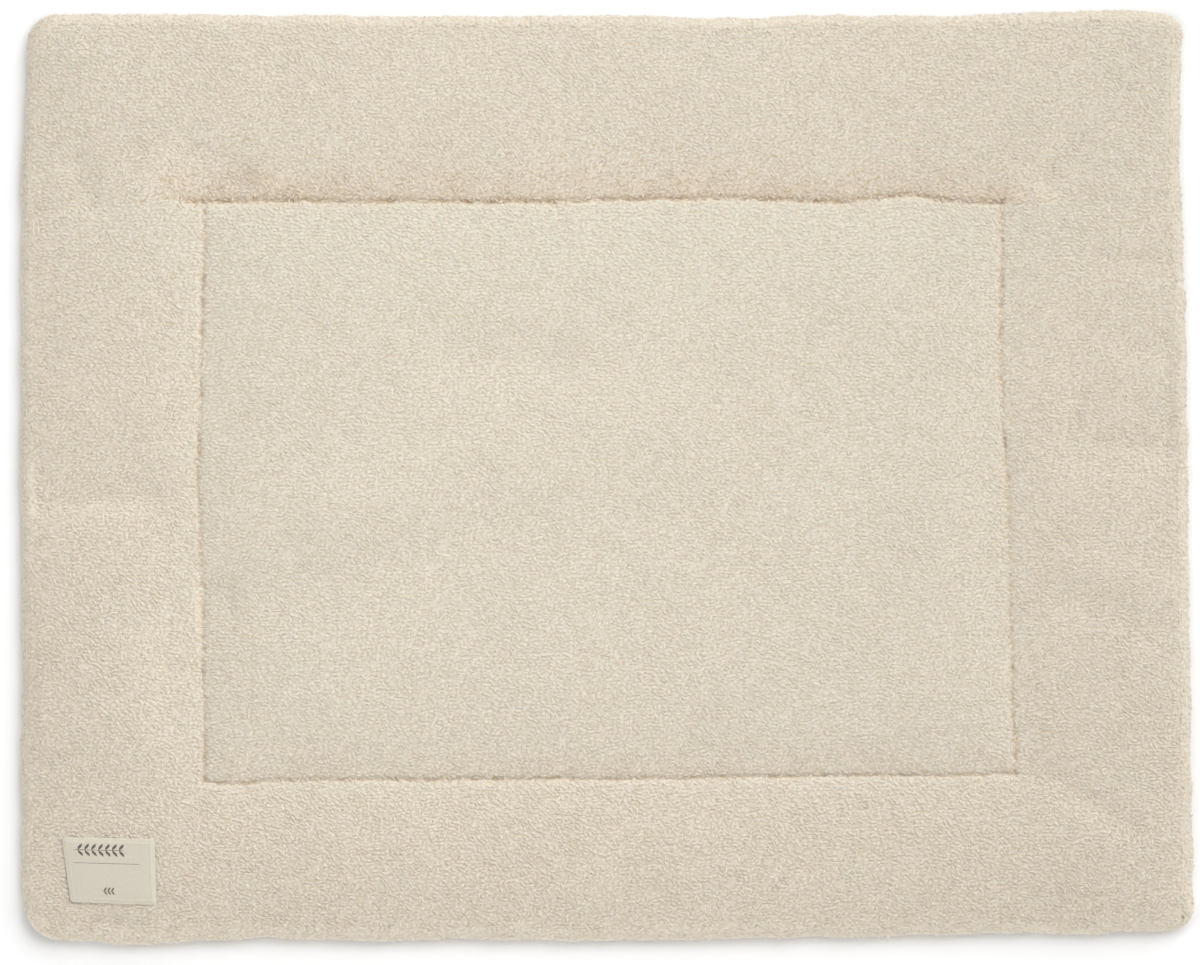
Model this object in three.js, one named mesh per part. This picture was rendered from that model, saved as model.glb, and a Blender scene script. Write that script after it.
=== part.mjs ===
// A padded playpen mat of teddy fleece, lying flat, with a rectangle sewn through all its layers
// and a small cloth label sewn on its border.
//
// Millimetres, +Z up. X runs along the long side and Y from the front edge to the back edge. The
// origin is on the ground under the middle of the mat.
//
// The mat is worked out in two steps. First it is thought of as laid out square, on a sheet that
// runs from 0 to WIDTH and from 0 to LENGTH, with straight seams. Then lay() moves each point of
// that square sheet to where it lies on the real, slightly skewed and wavy mat.

import * as THREE from 'three';
import { ParametricGeometry } from 'three/addons/geometries/ParametricGeometry.js';
import { mergeGeometries, mergeVertices } from 'three/addons/utils/BufferGeometryUtils.js';

// Widths of the border and the centre panel when the mat is laid out square
const BORDER = { left: 157, right: 151, front: 138, back: 161 };
const PANEL = { width: 685, length: 489 };
const WIDTH = BORDER.left + PANEL.width + BORDER.right;
const LENGTH = BORDER.front + PANEL.length + BORDER.back;

// Corners of the outline, were they sharp, and of the sewn rectangle, from the middle of the mat
const OUTLINE = {
  frontLeft: [-499, -398],
  frontRight: [500, -387],
  backLeft: [-496, 396],
  backRight: [491, 397],
};
const SEWN = {
  frontLeft: [-341, -257],
  frontRight: [349, -252],
  backLeft: [-342, 235],
  backRight: [338, 234],
};
const CORNER_RADIUS = { frontLeft: 26, frontRight: 22, backLeft: 30, backRight: 22 };

// Where an edge bows outwards (+) or inwards (-): the place along the side, by how much, how far
const BOWS = [
  { side: 'back', at: -60, out: -4.2, spread: 330 },
  { side: 'back', at: -150, out: -1.4, spread: 60 },
  { side: 'back', at: 112, out: -2.2, spread: 45 },
  { side: 'front', at: 110, out: 3.4, spread: 260 },
  { side: 'front', at: -405, out: 1.8, spread: 40 },
  { side: 'front', at: -290, out: -2.2, spread: 35 },
  { side: 'left', at: 160, out: 2.0, spread: 240 },
  { side: 'left', at: 345, out: -1.8, spread: 40 },
  { side: 'right', at: 270, out: -3.8, spread: 90 },
  { side: 'right', at: -30, out: -1.6, spread: 50 },
];

// Heights of the filling
const CROWN = 27;
const RIM_HEIGHT = 9;
const EDGE_SLOPE = { drop: 5, reach: 32 };
const SEAM_SHOULDER = { drop: 6.5, reach: 26 };
const SEAM_GROOVE = { drop: 6.5, reach: 5 };
const ROLL_OVER = 17;
const ROLL_UNDER = 12;

// Soft folds: a line on the mat, how far it rises (+) or sinks (-), and how far the fold reaches
// to the left and to the right of the way from its start to its end
const FOLDS = [
  { from: [-520, -26], to: [-365, -12], rise: -3.6, left: 52, right: 22 },
  { from: [-520, -214], to: [-345, -206], rise: 2.6, left: 90, right: 36 },
  { from: [368, 28], to: [520, 22], rise: -3.2, left: 90, right: 24 },
  { from: [404, 182], to: [496, 180], rise: -1.4, left: 16, right: 12 },
  { from: [412, 78], to: [500, 76], rise: -1.4, left: 16, right: 12 },
  { from: [364, 238], to: [414, 302], rise: -3.6, left: 12, right: 15 },
  { from: [-366, 278], to: [-258, 244], rise: -2.6, left: 13, right: 16 },
  { from: [-458, 288], to: [-430, 214], rise: -2.0, left: 12, right: 12 },
  { from: [352, -80], to: [496, -142], rise: -2.0, left: 15, right: 17 },
  { from: [352, -230], to: [466, -306], rise: -2.0, left: 13, right: 15 },
  { from: [-332, -64], to: [96, 49], rise: 2.4, left: 48, right: 34 },
  { from: [-338, -110], to: [-226, -68], rise: -2.2, left: 20, right: 24 },
];

// The label: its corners on the mat, its thickness, and its stand-off from the pile tips
const LABEL = {
  frontLeft: [-456, -364],
  frontRight: [-383, -366],
  backLeft: [-464, -308],
  backRight: [-385, -309],
};
const LABEL_THICKNESS = 1;
const LABEL_GAP = 0.45;
const LABEL_CELLS = { across: 12, up: 9 };

// Where lines of the surface run, counted in from an edge and away from a seam
const STEPS_FROM_EDGE = [0, 1.2, 4, 8.5, 17, 28, 44, 64, 86, 108];
const STEPS_FROM_SEAM = [28, 14, 7, 3.5, 0];
const PANEL_STEP = { across: 34, up: 24 };

// Rings of the surface under the rim, as angles of the quarter ellipse from rim to ground
const UNDER_STEPS = 4;

const lerp = (a, b, f) => a + (b - a) * f;
const between = (p, q, f) => [lerp(p[0], q[0], f), lerp(p[1], q[1], f)];
const smooth = (f) => THREE.MathUtils.smoothstep(f, 0, 1);

/** The point of the line p to q whose coordinate `axis` has this value. */
const where = (p, q, axis, value) => between(p, q, (value - p[axis]) / (q[axis] - p[axis]));

/** Corners of the nine fields: columns from left to right, each with points from front to back. */
const LATTICE = [
  [
    OUTLINE.frontLeft,
    where(OUTLINE.frontLeft, OUTLINE.backLeft, 1, SEWN.frontLeft[1]),
    where(OUTLINE.frontLeft, OUTLINE.backLeft, 1, SEWN.backLeft[1]),
    OUTLINE.backLeft,
  ],
  [
    where(OUTLINE.frontLeft, OUTLINE.frontRight, 0, SEWN.frontLeft[0]),
    SEWN.frontLeft,
    SEWN.backLeft,
    where(OUTLINE.backLeft, OUTLINE.backRight, 0, SEWN.backLeft[0]),
  ],
  [
    where(OUTLINE.frontLeft, OUTLINE.frontRight, 0, SEWN.frontRight[0]),
    SEWN.frontRight,
    SEWN.backRight,
    where(OUTLINE.backLeft, OUTLINE.backRight, 0, SEWN.backRight[0]),
  ],
  [
    OUTLINE.frontRight,
    where(OUTLINE.frontRight, OUTLINE.backRight, 1, SEWN.frontRight[1]),
    where(OUTLINE.frontRight, OUTLINE.backRight, 1, SEWN.backRight[1]),
    OUTLINE.backRight,
  ],
];
const COLUMNS = [0, BORDER.left, BORDER.left + PANEL.width, WIDTH];
const ROWS = [0, BORDER.front, BORDER.front + PANEL.length, LENGTH];

/** Which field a place on the square sheet is in along one axis, and how far across it. */
function field(lines, value) {
  const index = value < lines[1] ? 0 : value < lines[2] ? 1 : 2;
  return [index, (value - lines[index]) / (lines[index + 1] - lines[index])];
}

/** Turns the sharp corner of the square sheet into a round one: a square becomes a quarter disc. */
function roundCorner(x, y) {
  const isLeft = x < WIDTH / 2;
  const isFront = y < LENGTH / 2;
  const radius = CORNER_RADIUS[(isFront ? 'front' : 'back') + (isLeft ? 'Left' : 'Right')];
  const a = 1 - (isLeft ? x : WIDTH - x) / radius;
  const b = 1 - (isFront ? y : LENGTH - y) / radius;
  if (a <= 0 || b <= 0) return { x, y, inset: Math.min(x, WIDTH - x, y, LENGTH - y) };
  const sideways = a * Math.sqrt(1 - (b * b) / 2);
  const upwards = b * Math.sqrt(1 - (a * a) / 2);
  const fromSide = radius * (1 - sideways);
  const fromEnd = radius * (1 - upwards);
  return {
    x: isLeft ? fromSide : WIDTH - fromSide,
    y: isFront ? fromEnd : LENGTH - fromEnd,
    inset: radius * Math.max(0, 1 - Math.hypot(sideways, upwards)),
  };
}

/** How far one side bows out at a place along it. */
function bow(side, along) {
  return BOWS.filter((row) => row.side === side).reduce(
    (sum, row) => sum + row.out * Math.exp(-(((along - row.at) / row.spread) ** 2)),
    0,
  );
}

/** Where a point of the square sheet lies on the real mat. */
function lay(sheetX, sheetY) {
  const { x, y } = roundCorner(sheetX, sheetY);
  const [column, across] = field(COLUMNS, x);
  const [row, up] = field(ROWS, y);
  const front = between(LATTICE[column][row], LATTICE[column + 1][row], across);
  const back = between(LATTICE[column][row + 1], LATTICE[column + 1][row + 1], across);
  const [px, py] = between(front, back, up);
  const fade = (distance, width) => Math.max(0, 1 - distance / width) ** 2;
  return [
    px +
      bow('right', py) * fade(WIDTH - x, BORDER.right) -
      bow('left', py) * fade(x, BORDER.left),
    py +
      bow('back', px) * fade(LENGTH - y, BORDER.back) -
      bow('front', px) * fade(y, BORDER.front),
  ];
}

/** Distance from the sewn rectangle, inside or outside it, on the square sheet. */
function fromSeam(x, y) {
  const outX = Math.max(COLUMNS[1] - x, x - COLUMNS[2]);
  const outY = Math.max(ROWS[1] - y, y - ROWS[2]);
  if (outX > 0 || outY > 0) return Math.hypot(Math.max(outX, 0), Math.max(outY, 0));
  // Inside, the two nearest sides are blended so that no crease runs in from the corners.
  const sharpness = 4;
  return (
    (Math.max(-outX, 1e-6) ** -sharpness + Math.max(-outY, 1e-6) ** -sharpness) ** (-1 / sharpness)
  );
}

/** Rise of the soft folds at a point of the mat. Each is a bell across its line, eased at its ends. */
function folds(px, py) {
  let rise = 0;
  for (const fold of FOLDS) {
    const length = Math.hypot(fold.to[0] - fold.from[0], fold.to[1] - fold.from[1]);
    const ux = (fold.to[0] - fold.from[0]) / length;
    const uy = (fold.to[1] - fold.from[1]) / length;
    const along = ((px - fold.from[0]) * ux + (py - fold.from[1]) * uy) / length;
    const off = (py - fold.from[1]) * ux - (px - fold.from[0]) * uy;
    const ease = smooth(along * 4) * smooth((1 - along) * 4);
    const reach = off > 0 ? fold.left : fold.right;
    rise += fold.rise * ease * Math.exp(-((off / reach) ** 2));
  }
  return rise;
}

/** Height of the upper face over the ground. */
function height(x, y) {
  const { inset } = roundCorner(x, y);
  const seam = fromSeam(x, y);
  const [px, py] = lay(x, y);
  const crown =
    CROWN -
    EDGE_SLOPE.drop * Math.exp(-inset / EDGE_SLOPE.reach) -
    SEAM_SHOULDER.drop * Math.exp(-seam / SEAM_SHOULDER.reach) -
    SEAM_GROOVE.drop * Math.exp(-((seam / SEAM_GROOVE.reach) ** 2)) +
    folds(px, py);
  const roll = inset < ROLL_OVER ? Math.sqrt(1 - (1 - inset / ROLL_OVER) ** 2) : 1;
  return RIM_HEIGHT + (crown - RIM_HEIGHT) * roll;
}

/** Places of the surface's lines along one axis of the square sheet. */
function linesAlong(first, panel, last, panelStep) {
  const border = (width) => [
    ...STEPS_FROM_EDGE.filter((step) => step < width - STEPS_FROM_SEAM[0] - 8),
    ...STEPS_FROM_SEAM.map((step) => width - step),
  ];
  const inner = panel - 2 * STEPS_FROM_SEAM[0];
  const count = Math.round(inner / panelStep);
  const middle = Array.from({ length: count - 1 }, (_, i) => STEPS_FROM_SEAM[0] + (inner * (i + 1)) / count);
  const start = border(first);
  const end = border(last).map((step) => first + panel + last - step);
  const panelLines = [
    ...STEPS_FROM_SEAM.slice(0, -1).reverse(),
    ...middle,
    ...STEPS_FROM_SEAM.slice(0, -1).map((step) => panel - step),
  ].map((step) => first + step);
  return [...start, ...panelLines, ...end.reverse()];
}

/** Joins open surfaces into one closed body by welding the vertices that they share. */
function weld(surfaces) {
  const plain = surfaces.map((surface) => {
    const loose = surface.index ? surface.toNonIndexed() : surface;
    return new THREE.BufferGeometry().setAttribute('position', loose.attributes.position);
  });
  const solid = mergeVertices(mergeGeometries(plain), 1e-3);
  solid.computeVertexNormals();
  return solid;
}

/** The mat: its upper face, the rolled rim down to the ground, and the flat face it lies on. */
function matGeometry() {
  const xs = linesAlong(BORDER.left, PANEL.width, BORDER.right, PANEL_STEP.across);
  const ys = linesAlong(BORDER.front, PANEL.length, BORDER.back, PANEL_STEP.up);
  const upper = new ParametricGeometry(
    (u, v, target) => {
      const x = xs[Math.round(u * (xs.length - 1))];
      const y = ys[Math.round(v * (ys.length - 1))];
      target.set(...lay(x, y), height(x, y));
    },
    xs.length - 1,
    ys.length - 1,
  );

  // The rim, once round the sheet from the front left corner
  const rim = [
    ...xs.slice(0, -1).map((x) => [x, 0]),
    ...ys.slice(0, -1).map((y) => [WIDTH, y]),
    ...xs.slice(1).reverse().map((x) => [x, LENGTH]),
    ...ys.slice(1).reverse().map((y) => [0, y]),
  ];
  const under = (index, step) => {
    const [x, y] = rim[index % rim.length];
    const angle = (step / UNDER_STEPS) * (Math.PI / 2);
    const inwards = ROLL_UNDER * (1 - Math.cos(angle));
    const [px, py] = lay(x, y);
    const shrink = (value, half) => value * (1 - inwards / half);
    return new THREE.Vector3(
      shrink(px, WIDTH / 2),
      shrink(py, LENGTH / 2),
      RIM_HEIGHT * (1 - Math.sin(angle)),
    );
  };
  const side = new ParametricGeometry(
    (u, v, target) => target.copy(under(Math.round(u * rim.length), Math.round((1 - v) * UNDER_STEPS))),
    rim.length,
    UNDER_STEPS,
  );

  // The flat face it lies on, as triangles from its middle to each stretch of its outline
  const ring = rim.map((_, index) => under(index, UNDER_STEPS));
  const centre = new THREE.Vector3(0, 0, 0);
  const base = new THREE.BufferGeometry().setFromPoints(
    ring.flatMap((point, index) => [centre, ring[(index + 1) % ring.length], point]),
  );
  return weld([upper, side, base]);
}

/** The place on the square sheet that lies at a point of the mat, found by a few corrections. */
function sheetPlace(px, py) {
  let x = px + WIDTH / 2;
  let y = py + LENGTH / 2;
  for (let turn = 0; turn < 12; turn += 1) {
    const [hitX, hitY] = lay(x, y);
    x += px - hitX;
    y += py - hitY;
  }
  return [x, y];
}

/** The label: a thin cloth that follows the mat under it, just clear of the pile. */
function labelGeometry() {
  const { across, up } = LABEL_CELLS;
  const point = (u, v, lift) => {
    const front = between(LABEL.frontLeft, LABEL.frontRight, u);
    const back = between(LABEL.backLeft, LABEL.backRight, u);
    const [px, py] = between(front, back, v);
    return new THREE.Vector3(px, py, height(...sheetPlace(px, py)) + LABEL_GAP + lift);
  };
  const face = (lift, isUp) =>
    new ParametricGeometry(
      (u, v, target) => target.copy(isUp ? point(u, v, lift) : point(1 - u, v, lift)),
      across,
      up,
    );
  const edge = [
    ...Array.from({ length: across }, (_, i) => [i / across, 0]),
    ...Array.from({ length: up }, (_, i) => [1, i / up]),
    ...Array.from({ length: across }, (_, i) => [1 - i / across, 1]),
    ...Array.from({ length: up }, (_, i) => [0, 1 - i / up]),
  ];
  const side = new ParametricGeometry(
    (u, v, target) => {
      const [a, b] = edge[Math.round(u * edge.length) % edge.length];
      target.copy(point(a, b, v * LABEL_THICKNESS));
    },
    edge.length,
    1,
  );
  return weld([face(LABEL_THICKNESS, true), face(0, false), side]);
}

/** Teddy fleece in cream: a deep, matt pile. */
const fleece = new THREE.MeshStandardMaterial({ color: '#dcd3c1', roughness: 0.95, metalness: 0 });

/** Plain cotton in off-white. */
const cotton = new THREE.MeshStandardMaterial({ color: '#dad4c4', roughness: 0.85, metalness: 0 });

const mat = new THREE.Mesh(matGeometry(), fleece);
mat.name = 'mat';

const label = new THREE.Mesh(labelGeometry(), cotton);
label.name = 'label';

// The drawn corners are measured from the middle of the panel, so the whole is set over its middle.
const part = new THREE.Group();
part.add(mat, label);
const middle = new THREE.Box3().setFromObject(mat).getCenter(new THREE.Vector3());
part.position.set(-middle.x, -middle.y, 0);

export default part;
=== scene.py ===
"""A padded playpen mat of cream teddy fleece, lying flat and seen from straight above.

The filled mat is one closed cloth, blown up by a cloth simulation and then sewn in. Its pile is nearly
seventy thousand small curls laid over it, and a small cotton label is sewn on its border. Metres, +Z up,
X along the long side, Y from the front edge, where the label is, to the back edge.
"""

import bpy
import numpy as np
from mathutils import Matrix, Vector


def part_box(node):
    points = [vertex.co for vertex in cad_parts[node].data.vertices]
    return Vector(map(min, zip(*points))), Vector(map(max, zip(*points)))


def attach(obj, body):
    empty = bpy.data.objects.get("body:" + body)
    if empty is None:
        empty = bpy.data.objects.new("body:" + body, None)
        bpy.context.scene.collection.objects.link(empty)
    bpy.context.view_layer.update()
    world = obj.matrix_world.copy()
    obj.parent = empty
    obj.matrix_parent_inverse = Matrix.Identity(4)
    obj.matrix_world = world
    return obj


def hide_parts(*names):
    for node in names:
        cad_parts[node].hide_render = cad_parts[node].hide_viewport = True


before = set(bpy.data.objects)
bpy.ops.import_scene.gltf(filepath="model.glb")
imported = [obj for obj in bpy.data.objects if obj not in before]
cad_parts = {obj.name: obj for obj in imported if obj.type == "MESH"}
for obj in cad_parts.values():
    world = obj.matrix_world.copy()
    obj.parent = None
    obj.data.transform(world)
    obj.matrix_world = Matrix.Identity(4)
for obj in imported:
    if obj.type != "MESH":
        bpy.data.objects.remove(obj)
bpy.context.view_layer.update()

MM = 0.001

# The mat laid out square, with its sewn rectangle
BORDER = {"left": 157 * MM, "right": 151 * MM, "front": 138 * MM, "back": 161 * MM}
PANEL_WIDTH, PANEL_LENGTH = 685 * MM, 489 * MM
COLUMNS = np.cumsum([0, BORDER["left"], PANEL_WIDTH, BORDER["right"]])
ROWS = np.cumsum([0, BORDER["front"], PANEL_LENGTH, BORDER["back"]])
WIDTH, LENGTH = COLUMNS[-1], ROWS[-1]

# Corners front left, front right, back left and back right, in millimetres from the middle of the mat
# as drawn: of the outline, were it sharp, of the sewn rectangle and of the label
OUTLINE = ((-499.1, -398.5), (501, -387.4), (-496.1, 395.8), (492, 396.8))
SEWN = ((-342.3, -258.3), (349, -253.3), (-343.3, 233.5), (338, 232.3))
LABEL = ((-455.5, -362), (-382.5, -364.5), (-463, -307), (-384, -308.5))
CORNER_RADIUS = np.array([36, 22, 30, 21]) * MM

# Where each edge of the mat bows out (+) or in (-), in millimetres: place along it, how much, how far
EDGE_BOWS = {
    "back": [
        (-150, 1.2, 50), (-60, -4.2, 330), (-36, 1.8, 35), (112, -2.2, 45), (290, -2.6, 85),
        (412, 1.6, 40),
    ],
    "front": [
        (-462, -2.6, 28), (-405, 1.8, 40), (-290, -2.2, 35), (-205, 1.3, 50), (-130, -1.3, 40),
        (-25, 1.5, 40), (62, 1.8, 20), (110, 3.4, 260), (412, 1.9, 30),
    ],
    "left": [(-378, -2.4, 26), (-20, 1.4, 30), (160, 2.0, 240), (345, -4.4, 48)],
    "right": [(-115, -1.0, 50), (270, -3.8, 90)],
}

# Where a sewn line wanders towards the edge (+) or the middle (-) of the mat, in the same way
SEAM_BOWS = {
    "back": [(82, 3.0, 95), (256, 5.4, 38)],
    "front": [(-316, 3.2, 26), (-20, 1.9, 300)],
    "left": [(0, 4.4, 115), (190, -0.8, 30)],
    "right": [(-150, -2.4, 90), (90, -5.2, 105)],
}
SEAM_BOW_FADE = 46 * MM
# The small bumps of the edge, those of a sewn line, and their seeds
BUMP_SIZE, BUMP_OUT = 15 * MM, 1.3 * MM
WANDER_SIZE, WANDER_OUT = 22 * MM, 0.9 * MM
BUMP_SEEDS = {"back": 4, "front": 5, "left": 4, "right": 5}
WANDER_SEEDS = {"back": 13, "front": 14, "left": 13, "right": 14}

# Heights of the filling
CROWN = 27 * MM
RIM_HEIGHT = 9 * MM
EDGE_DROP, EDGE_REACH = 5 * MM, 32 * MM
SHOULDER_DROP, SHOULDER_REACH, SHOULDER_ROUND = 5.5 * MM, 26 * MM, 5 * MM
ROLL_OVER, ROLL_UNDER = 17 * MM, 12 * MM

# The groove that the sewing pulls in, in millimetres: side, depth, reach towards the edge and the middle,
# and the depth of its dimples, where the thread catches the pile
GROOVES = [
    ("back", 1.2, 6.0, 2.0, 1.7),
    ("front", 0.9, 2.0, 4.0, 1.5),
    ("left", 0.22, 3.0, 3.0, 2.0),
    ("right", 0.22, 3.0, 3.0, 2.0),
]
GROOVE_FULL = 3.5 * MM
# How far the back groove runs on to the left of the sewn rectangle, as a crease
CREASE_ON = 18 * MM
DIMPLE_PITCH, DIMPLE_REACH, DIMPLES = 9 * MM, 2.2 * MM, 400

# Where the sewing ruffles the pile, in millimetres: side, how much (1 is most), reach as for the grooves
RUFFLES = [
    ("back", 1.0, 9.5, 1.2),
    ("back", 0.72, 42.0, 1.2),
    ("front", 0.6, 2.4, 4.0),
    ("front", 0.5, 4.0, 36.0),
    ("left", 0.42, 9.0, 6.0),
    ("right", 0.42, 6.0, 9.0),
]

# Away from the sewing: at the front, how much less at the back, how much more on the border, its patches,
# how much less just inside the back line, where the cloth is stretched, and on the rolled edge
BASE_RUFFLE, RUFFLE_FALL, BORDER_RUFFLE, RUFFLE_PATCHES, STRETCHED = 0.22, 0.12, 0.14, 0.04, 0.25
EDGE_RUFFLE = 0.3

# The share of curls that the thread holds down, given in the same way
CAUGHT = [
    ("back", 0.5, 8.0, 1.2),
    ("back", 0.25, 38.0, 1.2),
    ("front", 0.6, 1.6, 3.0),
    ("left", 0.6, 4.5, 4.0),
    ("right", 0.55, 4.0, 4.0),
]
# How high the caught curls stand, and how far towards their crests they are coloured: they get painted shade
CAUGHT_RISE, CAUGHT_SHADE_DEPTH = 0.35, 0.2

# Soft folds, in millimetres: start, end, rise (+) or sinking (-), reach to the left and right of its way
FOLDS = [
    # In the left border
    ((-520, -26), (-365, -12), -4.5, 50, 18),
    ((-530, -23), (-372, -15), -1.1, 9, 8),
    ((-520, -214), (-362, -207), 4.6, 100, 44),
    # In the right border
    ((390, 186), (510, 182), -2.0, 12, 10),
    ((412, 110), (510, 108), -2.2, 14, 12),
    ((368, 28), (520, 22), -4.5, 90, 24),
    ((385, 30), (520, 26), -1.1, 8, 7),
    ((352, -60), (500, -104), 1.8, 15, 17),
    ((352, -88), (500, -142), -1.9, 15, 17),
    # At the corners
    ((-458, 288), (-430, 214), -3.0, 12, 12),
    ((-374, 290), (-288, 252), -4.4, 12, 34),
    ((364, 238), (414, 302), -5.5, 13, 17),
    ((352, -238), (466, -312), -2.4, 11, 13),
    ((-450, -378), (-380, -380), -2.6, 8, 12),
    # In the centre panel
    ((-332, -64), (110, 62), 4.2, 46, 32),
    ((-310, -120), (-20, -10), -1.6, 26, 30),
    ((-160, 100), (-10, 104), -3.0, 24, 26),
    ((-338, -110), (-226, -68), -1.8, 20, 24),
    ((-352, -98), (-308, -96), -3.4, 12, 34),
]

# Lines of the cloth: even steps, with closer ones by the seams, over the rolled edge and down to the ground
CLOTH_STEP = 6.5 * MM
BY_SEAM = np.array([0, 1.6, 3.4, 5.6, 8.6, 12.6]) * MM
OVER_STEPS, UNDER_STEPS = 7, 4
BASE_RINGS = (0.04, 0.14, 0.36, 0.66)

# Filling: the pressure, how long it acts, and how far the cloth may rise from its slightly smaller start
PRESSURE = 4
SWELL_FRAMES = 20
SWELL_CAP = 2.5 * MM
HELD_RIM = 8 * MM

# The pile stands this far over the cloth, in curls on a net of jittered cells
PILE_DEPTH = 2.2 * MM
CURL_CELL, CURL_JITTER = (4.0 * MM, 3.15 * MM), 0.38
CURL = {"length": 6.0 * MM, "width": 3.5 * MM, "rise": 1.25 * MM, "sink": 0.5 * MM}
CURL_TURN, CURL_BEND, CURL_SNAKE = 0.44, 0.22, 0.28
# Between and on them are finer ones, of about these sizes along X, Y and Z
SWIRL_SIZE, SWIRL_TURNS = (8.0 * MM, 4.6 * MM, 4.6 * MM), 24.0
# How dark the cloth between the curls is painted: it takes the pile's painted shade at this share of the way
# to their crests
GROUND_SHADE_DEPTH = 0.5
PILE_STRIPS = 5
# The rolled edge, measured from its rim: its way up to the top and down to the ground, and the part of
# each that has rows of curls of its own
WAY_OVER, WAY_UNDER = 26 * MM, 16.6 * MM
EDGE_ROWS = (-0.9, 0.72)
GROUND_GAP = 0.25 * MM

# The label and its turned-under hem, and the sewing thread
LABEL_WIDTH, LABEL_LENGTH = 80 * MM, 57 * MM
LABEL_THICKNESS, LABEL_GAP = 1 * MM, 0.45 * MM
LABEL_RADIUS, LABEL_BARE = 3 * MM, 0.8 * MM
LABEL_SINK, SINK_REACH = 1.8 * MM, 3 * MM
LABEL_PUFF, PUFF_REACH = 0.7 * MM, 9 * MM
HEM_WIDTH, HEM_EASE, HEM_RISE = 4.2 * MM, 0.8 * MM, 0.35 * MM
STITCH_INSET, TROUGH_DEPTH, TROUGH_REACH = 2.3 * MM, 0.3 * MM, 0.6 * MM
LABEL_STITCH = {"length": 2.5 * MM, "width": 0.45 * MM, "rise": 0.3 * MM, "sink": 0.2 * MM}
PANEL_STITCH = {"length": 4.2 * MM, "width": 0.6 * MM, "rise": 0.4 * MM, "sink": 0.3 * MM}

# The photograph is 1200 by 965 pixels, of 0.851 mm each, and its middle lies here on the mat as drawn
PIXEL = 0.851 * MM
PHOTO_WIDTH = 1200 * PIXEL
PHOTO_MIDDLE = np.array([-5.5, -5.5]) * MM
CAMERA_HEIGHT = 8.0
FLOOR_SIZE, FLOOR_DROP = 6, 0.2 * MM

# The light: all round, a soft key from behind on the right with low fills (where from, strength, degrees
# across), and a soft lamp overhead
SKY_STRENGTH = 0.28
SUNS = {
    "key": ((0.78, 0.97, 0.85), 2.5, 60),
    "fill_front": ((0.0, -1.0, 0.2), 1.9, 26),
    "fill_left": ((-1.0, 0.0, 0.2), 1.3, 26),
    "fill_right": ((1.0, 0.0, 0.35), 0.3, 40),
    "fill_back": ((0.0, 1.0, 0.35), 0.2, 40),
}
OVERHEAD_PLACE, OVERHEAD_SIZE, OVERHEAD_POWER = (-0.06, 0.15, 1.2), 0.9, 4.7

# The label's dark print, in millimetres on the flat label: sprigs as height, middle, half length, leaf
# length, leaf pitch and leaf half width, and a rule as height, middle, half length and half width
SPRIGS = [(46.5, 31, 21, 5.6, 6.0, 1.5), (11, 36, 5.1, 3.4, 3.4, 0.95)]
LEAF_LEAN, STEM_HALF_WIDTH = 0.7, 0.25
RULE = (35, 37, 29, 0.2)


def lerp(a, b, f):
    """From a to b by the fraction f."""
    return a + (b - a) * f


def unit(vectors):
    """Vectors divided by their lengths."""
    return vectors / np.maximum(np.linalg.norm(vectors, axis=-1, keepdims=True), 1e-12)


def smoothstep(f):
    """3 f squared less 2 f cubed, with f held between 0 and 1."""
    f = np.clip(f, 0, 1)
    return f * f * (3 - 2 * f)


def drift(x, y, size, seed):
    """A smooth random field from -1 to 1: random knots on a square net, with smoothstep blends between.

    The net repeats after 97 knots each way.
    """
    count = 97
    knots = np.random.default_rng(seed).uniform(-1, 1, (count, count))
    column, row = x / size + count, y / size + count
    i, j = np.floor(column).astype(int), np.floor(row).astype(int)
    a, b = smoothstep(column - i), smoothstep(row - j)
    front = lerp(knots[i % count, j % count], knots[(i + 1) % count, j % count], a)
    back = lerp(knots[i % count, (j + 1) % count], knots[(i + 1) % count, (j + 1) % count], a)
    return lerp(front, back, b)


def where(p, q, axis, value):
    """The point of the line from p to q whose coordinate axis has this value."""
    return lerp(p, q, (value - p[axis]) / (q[axis] - p[axis]))


def lattice():
    """Corners of the mat's nine fields, 4 by 4 points from left to right and from front to back."""
    front_left, front_right, back_left, back_right = np.array(OUTLINE) * MM
    sewn = np.array(SEWN) * MM
    left, right = sewn[[0, 2]], sewn[[1, 3]]
    first = [where(front_left, back_left, 1, p[1]) for p in left]
    last = [where(front_right, back_right, 1, p[1]) for p in right]
    inner = [
        [where(front_left, front_right, 0, p[0]), p, q, where(back_left, back_right, 0, q[0])]
        for p, q in (left, right)
    ]
    return np.array([[front_left, *first, back_left], *inner, [front_right, *last, back_right]])


LATTICE = lattice()


def rounded(x, y, width, length, radii):
    """Places on a rectangle with its sharp corners made round, and how far in from the edge each lies.

    With a and b from 0 to 1 towards a corner, a square becomes a quarter disc as a times the root of
    1 - b b / 2 and b times the root of 1 - a a / 2.
    """
    is_left, is_front = x < width / 2, y < length / 2
    radius = radii[2 * ~is_front + 1 * ~is_left]
    side, end = np.where(is_left, x, width - x), np.where(is_front, y, length - y)
    a, b = 1 - side / radius, 1 - end / radius
    in_corner = (a > 0) & (b > 0)
    sideways = a * np.sqrt(np.maximum(0, 1 - b * b / 2))
    upwards = b * np.sqrt(np.maximum(0, 1 - a * a / 2))
    from_arc = radius * np.maximum(0, 1 - np.hypot(sideways, upwards))
    inset = np.where(in_corner, from_arc, np.minimum(side, end))
    side = np.where(in_corner, radius * (1 - sideways), side)
    end = np.where(in_corner, radius * (1 - upwards), end)
    return np.where(is_left, side, width - side), np.where(is_front, end, length - end), inset


def round_mat(x, y):
    """The square sheet with round corners. The cloth's rim lies the pile's depth inside its outline."""
    d = PILE_DEPTH
    x, y, inset = rounded(x - d, y - d, WIDTH - 2 * d, LENGTH - 2 * d, CORNER_RADIUS - d)
    return x + d, y + d, inset


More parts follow.
